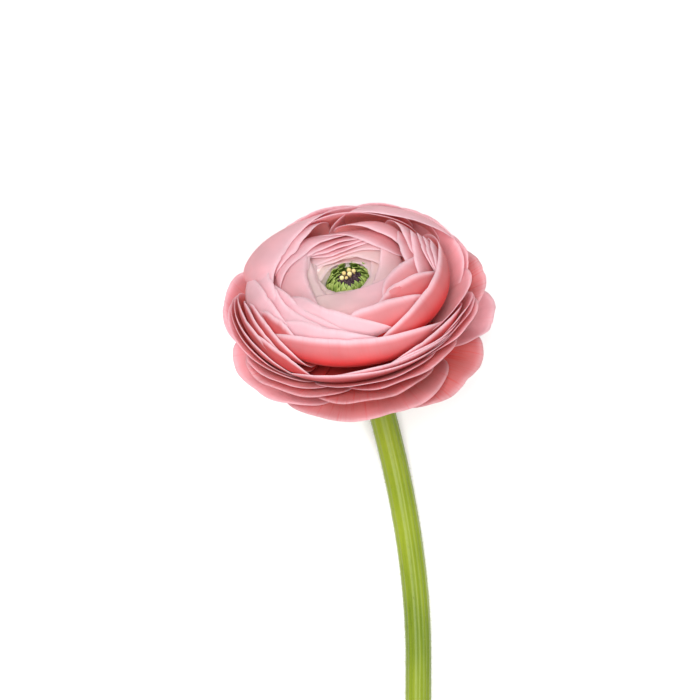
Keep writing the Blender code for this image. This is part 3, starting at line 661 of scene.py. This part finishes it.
def stem_material():
    """Green stem skin: satin, with paler low ribs, fine streaks along it and soft patches of paler green.

    The streaks are some 0.6 mm wide and the patches a few centimetres long.
    """
    stem = bpy.context.scene.ranunculus_stem
    made, tree = new_material("stem_skin_green")
    place = add_node(tree, "ShaderNodeAttribute", attribute_name="place").outputs["Vector"]
    kind = add_node(tree, "ShaderNodeAttribute", attribute_name="kind").outputs["Vector"]
    rib = add_node(tree, "ShaderNodeSeparateXYZ", {0: kind}).outputs[1]
    drawn = add_node(tree, "ShaderNodeMapping", {0: place, 3: (1.0, 0.06, 1.0)}).outputs[0]
    streaks = add_node(tree, "ShaderNodeTexNoise", {"Vector": drawn, "Scale": 1.6, "Detail": 4.0}).outputs[0]
    patches = add_node(tree, "ShaderNodeMapping", {0: place, 3: (1.0, 0.35, 1.0)}).outputs[0]
    mottle = add_node(
        tree, "ShaderNodeTexNoise", {"Vector": patches, "Scale": 0.08, "Detail": 1.0}
    ).outputs[0]
    fine = add_node(tree, "ShaderNodeMapRange", {0: streaks, 1: 0.35, 2: 0.7, 3: 0.0, 4: 0.25}).outputs[0]
    share = add_node(
        tree, "ShaderNodeMath", {0: rib, 1: 0.12, 2: fine}, operation="MULTIPLY_ADD", use_clamp=True
    ).outputs[0]
    skin = add_node(
        tree, "ShaderNodeMix", {0: share, 6: stem.green, 7: stem.light}, data_type="RGBA"
    ).outputs[2]
    paler = add_node(tree, "ShaderNodeMapRange", {0: mottle, 1: 0.4, 2: 0.72, 3: 0.0, 4: 0.75}).outputs[0]
    skin = add_node(tree, "ShaderNodeMix", {0: paler, 6: skin, 7: stem.light}, data_type="RGBA").outputs[2]
    bump = add_node(
        tree, "ShaderNodeBump", {"Height": streaks, "Strength": 0.3, "Distance": 0.1 * MM}
    ).outputs[0]
    shader = add_node(
        tree, "ShaderNodeBsdfPrincipled",
        {
            "Base Color": skin, "Normal": bump, "Roughness": 0.4, "IOR": 1.42,
            "Sheen Weight": 0.05, "Sheen Roughness": 0.35,
        },
    ).outputs[0]
    add_node(tree, "ShaderNodeOutputMaterial", {"Surface": shader})
    return made


# ---------------------------------------------------------------- pieces

PETAL_GROUPS = (
    # name, first layer, last layer, where its petals start, segments across and along
    ("guard_petals", -0.1, 0.2, 0.06, 48, 30),
    ("skirt_petals", 0.2, 0.47, 0.16, 44, 28),
    ("bun_petals", 0.47, 0.78, 0.3, 44, 26),
    ("inner_petals", 0.78, 1.1, 0.3, 44, 24),
)


def add_petals(name, low, high, first, across, along, material):
    """The petals whose middle layer is from low up to high, each from `first` of its height to its rim."""
    bloom = bpy.context.scene.ranunculus_bloom
    bm = new_mesh()
    for petal in petal_list():
        if not low <= petal["s"] < high:
            continue

        def point(u, v, petal=petal):
            return petal_point(petal, u, mix(first, 1, v))

        def kind(u, v, petal=petal):
            return mix(*petal["layers"], (u + 1) / 2), petal["blush"]

        size = petal["half"] * rim_of(petal["s"])[0], PETAL_LENGTH * (1 - first)
        add_blade(bm, point, kind, size, across, along, bloom.thickness, 37 * petal["index"])
    finish(name, bm, "petals", "petal", material)


def add_core():
    """The flesh that the petals stand on, up to the floor of the eye, and the soft mouth round the eye."""
    bloom = bpy.context.scene.ranunculus_bloom
    bm = new_mesh()
    outline = [(0, -0.3), (9, -0.3), (10.5, 0.6)]
    outline += [profile(mix(0.1, 1, i / CORE_STEPS), 0.4, math.radians(270)) for i in range(CORE_STEPS)]
    outline += [(7.4, EYE_FLOOR - 0.4), (0, EYE_FLOOR - 0.4)]
    lathe(bm, outline, 48, BLOOM_PLACE)
    lathe(bm, MOUTH, 48, EYE_PLACE)
    place, sort = bm.verts.layers.float_vector["place"], bm.verts.layers.float_vector["kind"]
    for vert in bm.verts:
        vert[sort] = (0, smooth(vert[place].z, *HEART_HEIGHTS), 0)
    # Petal flesh: a soft coral under the guard petals that pales to near white round the eye.
    flesh = grown_material("petal_flesh", bloom.guard, bloom.heart, 0.6, 0.5, 0.1)
    finish("bloom_core", bm, "petals", "petal", flesh)


class RANUNCULUS_OT_petals(Operator):
    """Add the spiral of petals, in groups from the spread guard petals in to the eye, and their core."""

    bl_idname = "ranunculus.petals"
    bl_label = "Petals"

    def execute(self, context):
        material = petal_material()
        for group in PETAL_GROUPS:
            add_petals(*group, material)
        add_core()
        return {"FINISHED"}


def add_scales(draw):
    """The rings of green scales, on a low floor."""
    eye = bpy.context.scene.ranunculus_eye
    bm = new_mesh()
    for count, r, tall, wide, lean in SCALE_RINGS:
        for k in range(count):
            scale = {
                "r": r + draw.uniform(-0.25, 0.25),
                "bearing": math.tau * (k + draw.uniform(-0.3, 0.3)) / count,
                "tall": tall * draw.uniform(0.85, 1.12),
                "wide": wide * draw.uniform(0.8, 1.2),
                "lean": lean * draw.uniform(0.4, 1.5),
            }
            light = draw.uniform(0.0, 0.5)

            def point(u, v, scale=scale):
                return scale_point(scale, u, v)

            def kind(u, v, light=light):
                return light + 0.4 * abs(u) ** 3 + 0.35 * smooth(v, 0.5, 1), 0

            add_blade(bm, point, kind, (wide, tall), 6, 8, LEAF_THICKNESS * MM, 11 * k)
    floor = [(0, EYE_FLOOR - 0.3), (6.1, EYE_FLOOR - 0.3), (6.1, EYE_FLOOR + 1.0), (3.0, EYE_FLOOR + 1.6)]
    lathe(bm, [*floor, (0, EYE_FLOOR + 1.6)], 32, EYE_PLACE)
    # Green scales: satin leaf, dark at the foot and yellow green along the edges and tips.
    leafy = grown_material("green_scale", eye.scale, eye.scale_light, 0.42, 1.2, 0.06)
    finish("eye_scales", bm, "green_scales", "scale", leafy)


def add_pistils(draw):
    """The dark dome in the middle, covered with small upright tips."""
    eye = bpy.context.scene.ranunculus_eye
    bm = new_mesh()
    dome = [(0, EYE_FLOOR), (3.2, EYE_FLOOR), (3.3, DOME_TOP - 1.0), (2.6, DOME_TOP - 0.35), (1.3, DOME_TOP)]
    lathe(bm, [*dome, (0, DOME_TOP + 0.1)], 32, EYE_PLACE, (0, 0.15, 0))
    for k in range(KNOBS):
        r = KNOB_SPREAD * math.sqrt((k + 0.5) / KNOBS)
        bearing = k * GOLDEN_ANGLE
        z = DOME_TOP - 0.9 * (r / KNOB_SPREAD) ** 3
        size = draw.uniform(0.28, 0.42)
        knob = bmesh.ops.create_icosphere(bm, subdivisions=1, radius=size)["verts"]
        bmesh.ops.scale(bm, vec=(0.8, 0.8, 1.6), verts=knob)
        at = Matrix.Translation((r * math.cos(bearing), r * math.sin(bearing), z))
        settle(bm, knob, EYE_PLACE @ at, (0, draw.uniform(0.0, 0.8), 0))
    # Purple pistils: near black, with tips of dull mauve that make the dome look furry.
    dark = grown_material("purple_pistil", eye.purple, eye.purple_light, 0.5, 1.6, 0.05)
    finish("eye_pistils", bm, "pistils", "pistil", dark)


def add_anthers(draw):
    """The cream beads over the dome, each on its short stalk."""
    eye = bpy.context.scene.ranunculus_eye
    bm = new_mesh()
    for x, y, z, size in BEADS:
        bead = bmesh.ops.create_icosphere(bm, subdivisions=3, radius=size)["verts"]
        bmesh.ops.scale(bm, vec=(1, 0.85, 1.1), verts=bead)
        at = Matrix.Translation((x, y, DOME_TOP + z))
        settle(bm, bead, EYE_PLACE @ at, (0, draw.uniform(0.4, 1), 0))
        stalk = bmesh.ops.create_cone(
            bm, cap_ends=True, segments=10, radius1=0.3, radius2=0.22, depth=z + 0.4
        )["verts"]
        at = Matrix.Translation((x, y, DOME_TOP + z / 2 - 0.2))
        settle(bm, stalk, EYE_PLACE @ at, (0, 0.1, 0))
    # Cream anthers: soft matt beads with a warm yellow in their grain and on their stalks.
    cream = grown_material("cream_anther", eye.cream_dark, eye.cream, 0.5, 1.5, 0.04)
    finish("eye_anthers", bm, "anthers", "anther", cream)


class RANUNCULUS_OT_eye(Operator):
    """Add the eye: the green scales, the dark dome with its tips and the cream beads."""

    bl_idname = "ranunculus.eye"
    bl_label = "Eye"

    def execute(self, context):
        draw = random.Random(EYE_SEED)
        add_scales(draw)
        add_pistils(draw)
        add_anthers(draw)
        return {"FINISHED"}


class RANUNCULUS_OT_sepals(Operator):
    """Add the five sepals on their collar under the bloom."""

    bl_idname = "ranunculus.sepals"
    bl_label = "Sepals"

    def execute(self, context):
        stem = context.scene.ranunculus_stem
        bm = new_mesh()
        collar = [(4.3, -0.75), (5.9, -0.75), (6.0, -1.3), (5.8, -1.9), (4.3, -1.9)]
        lathe(bm, collar, 48, BLOOM_PLACE, (0, 0.3, 0))
        for k in range(SEPALS):
            bearing = math.tau * k / SEPALS + 0.3

            def point(u, v, bearing=bearing):
                return sepal_point(bearing, u, v)

            def kind(u, v):
                return 0.3 + 0.5 * abs(u) ** 4 + 0.3 * smooth(v, 0.7, 1), 0

            size = SEPAL_HALF_WIDTH, SEPAL_LENGTH
            add_blade(bm, point, kind, size, 18, 22, LEAF_THICKNESS * MM, 21 * k)
        # Sepal leaf: dull yellow green, paler at the edges and tips.
        leaf = grown_material("sepal_leaf", stem.green, stem.pith, 0.5, 0.9, 0.1)
        finish("sepal_blades", bm, "sepals", "sepal", leaf)
        return {"FINISHED"}


def add_stem_skin():
    """The ribbed skin of the stem, from inside the sepals to its slanting cut."""
    stem = bpy.context.scene.ranunculus_stem
    bm = new_mesh()
    place, sort = bm.verts.layers.float_vector["place"], bm.verts.layers.float_vector["kind"]
    skin = bmesh.ops.create_grid(bm, x_segments=8 * stem.ribs, y_segments=150, size=1)["verts"]
    for vert in skin:
        turn, v = math.pi * (vert.co.x + 1), (vert.co.y + 1) / 2
        at, radius, _, sideways, up = stem_frame(v)
        rib = math.cos(stem.ribs * turn + 2 * math.sin(3 * v))
        radius += 0.07 * rib + 0.06 * math.sin(2 * turn + 9 * v)
        vert.co = at + MM * radius * (math.cos(turn) * sideways + math.sin(turn) * up)
        vert.co.z = max(vert.co.z, 0.02 * MM)
        vert[place] = (radius * math.cos(turn), STEM_LENGTH * v, radius * math.sin(turn))
        vert[sort] = (0, 0.5 + 0.5 * rib, 0)
    bmesh.ops.remove_doubles(bm, verts=bm.verts, dist=1e-6)
    slant = Matrix.Rotation(CUT_SLANT, 3, "X") @ Vector((0, 1, 0))
    end = stem_at(1)[0] + Vector((0, CUT_BACK * MM, 0))
    everything = bm.verts[:] + bm.edges[:] + bm.faces[:]
    bmesh.ops.bisect_plane(bm, geom=everything, dist=1e-7, plane_co=end, plane_no=slant, clear_inner=True)
    holes = bmesh.ops.holes_fill(bm, edges=[e for e in bm.edges if e.is_boundary], sides=0)["faces"]
    for face in holes:
        face.material_index = 1
    bmesh.ops.recalc_face_normals(bm, faces=bm.faces)
    # Cut pith: the wet, pale inside of the stem, seen at its cut.
    pith = grown_material("cut_pith", stem.light, stem.pith, 0.6, 0.8, 0.15)
    piece = finish("stem_skin", bm, "stem", "stem", stem_material(), pith)
    piece.data.set_sharp_from_angle(angle=CREASE)


def add_stem_hairs():
    """Short fine hairs over the upper side of the stem."""
    stem = bpy.context.scene.ranunculus_stem
    bm = new_mesh()
    draw = random.Random(HAIR_SEED)
    for _ in range(stem.hairs):
        v, turn = draw.uniform(0.03, 0.97), draw.uniform(-0.6, math.pi + 0.6)
        at, radius, along, sideways, up = stem_frame(v)
        out = math.cos(turn) * sideways + math.sin(turn) * up
        root = at + MM * (radius - 0.05) * out
        lean = (out + 0.5 * along * draw.uniform(-1, 1) + 0.3 * sideways * draw.uniform(-1, 1)).normalized()
        long = draw.uniform(0.35, 0.8)
        hair = bmesh.ops.create_cone(
            bm, cap_ends=True, segments=3, radius1=0.035, radius2=0.01, depth=long
        )["verts"]
        middle = Matrix.Translation(root + MM * long / 2 * lean)
        turned = middle @ lean.to_track_quat("Z", "X").to_matrix().to_4x4()
        settle(bm, hair, turned @ Matrix.Scale(MM, 4), (0, 0.5, 0))
    # Stem down: pale green, a soft light edge along the stem.
    down = grown_material("stem_down", stem.light, stem.hair, 0.5, 1.0, 0.01)
    finish("stem_hairs", bm, "stem", "stem", down)


class RANUNCULUS_OT_stem(Operator):
    """Add the ribbed skin of the stem with its slanting cut, and its short hairs."""

    bl_idname = "ranunculus.stem"
    bl_label = "Stem"

    def execute(self, context):
        add_stem_skin()
        add_stem_hairs()
        return {"FINISHED"}


def add_surface(colour):
    """The plain surface under the flower, wide enough to fill the view."""
    bm = bmesh.new()
    bmesh.ops.create_grid(bm, x_segments=1, y_segments=1, size=1.5)
    mesh = bpy.data.meshes.new("surface")
    bm.to_mesh(mesh)
    bm.free()
    # Matt white board: takes a soft shadow and gives no gloss.
    board, tree = new_material("matt_white_board")
    shader = add_node(tree, "ShaderNodeBsdfPrincipled", {"Base Color": colour, "Roughness": 0.9})
    add_node(tree, "ShaderNodeOutputMaterial", {"Surface": shader.outputs[0]})
    mesh.materials.append(board)
    floor = bpy.data.objects.new("surface", mesh)
    bpy.context.scene.collection.objects.link(floor)


class RANUNCULUS_OT_stage(Operator):
    """Add the plain surface, the soft lights and the camera that looks down."""

    bl_idname = "ranunculus.stage"
    bl_label = "Stage"

    def execute(self, context):
        stage = context.scene.ranunculus_stage
        add_surface(stage.floor)
        world = bpy.data.worlds.new("studio")
        context.scene.world = world
        world.use_nodes = True
        world.node_tree.nodes["Background"].inputs["Color"].default_value = (1, 1, 1, 1)
        world.node_tree.nodes["Background"].inputs["Strength"].default_value = WORLD_STRENGTH
        for name, at, size, power in LIGHTS:
            data = bpy.data.lights.new(name, "AREA")
            data.energy, data.size = power, size
            light = bpy.data.objects.new(name, data)
            light.location = BASE_AT * MM + LIGHT_AIM + Vector(at)
            light.rotation_euler = (-Vector(at)).to_track_quat("-Z", "Y").to_euler()
            context.scene.collection.objects.link(light)
        data = bpy.data.cameras.new("camera")
        data.lens, data.sensor_width = stage.lens, SENSOR_WIDTH
        camera = bpy.data.objects.new("camera", data)
        camera.location = BASE_AT.x * MM + CAMERA_SHIFT[0], BASE_AT.y * MM + CAMERA_SHIFT[1], stage.height
        context.scene.collection.objects.link(camera)
        context.scene.camera = camera
        context.scene.view_settings.view_transform = "Standard"
        return {"FINISHED"}


class RANUNCULUS_PT_panel(Panel):
    """Every setting, and a button for each operator."""

    bl_label = "Ranunculus"
    bl_space_type = "VIEW_3D"
    bl_region_type = "UI"
    bl_category = "Ranunculus"

    def draw(self, context):
        for name, group in SETTINGS.items():
            for setting in group.__annotations__:
                self.layout.prop(getattr(context.scene, name), setting)
        for operator in OPERATORS:
            self.layout.operator(operator.bl_idname)


SETTINGS = {
    "ranunculus_bloom": BloomSettings,
    "ranunculus_eye": EyeSettings,
    "ranunculus_stem": StemSettings,
    "ranunculus_stage": StageSettings,
}
OPERATORS = (
    RANUNCULUS_OT_petals, RANUNCULUS_OT_eye, RANUNCULUS_OT_sepals, RANUNCULUS_OT_stem, RANUNCULUS_OT_stage,
)
CLASSES = (*SETTINGS.values(), *OPERATORS, RANUNCULUS_PT_panel)


def register():
    for cls in CLASSES:
        bpy.utils.register_class(cls)
    for name, cls in SETTINGS.items():
        setattr(bpy.types.Scene, name, PointerProperty(type=cls))


def unregister():
    for name in SETTINGS:
        delattr(bpy.types.Scene, name)
    for cls in reversed(CLASSES):
        bpy.utils.unregister_class(cls)


def main():
    """Builds every piece and the stage."""
    register()
    for operator in OPERATORS:
        getattr(bpy.ops.ranunculus, operator.bl_idname.split(".")[1])()


if __name__ == "__main__":
    main()
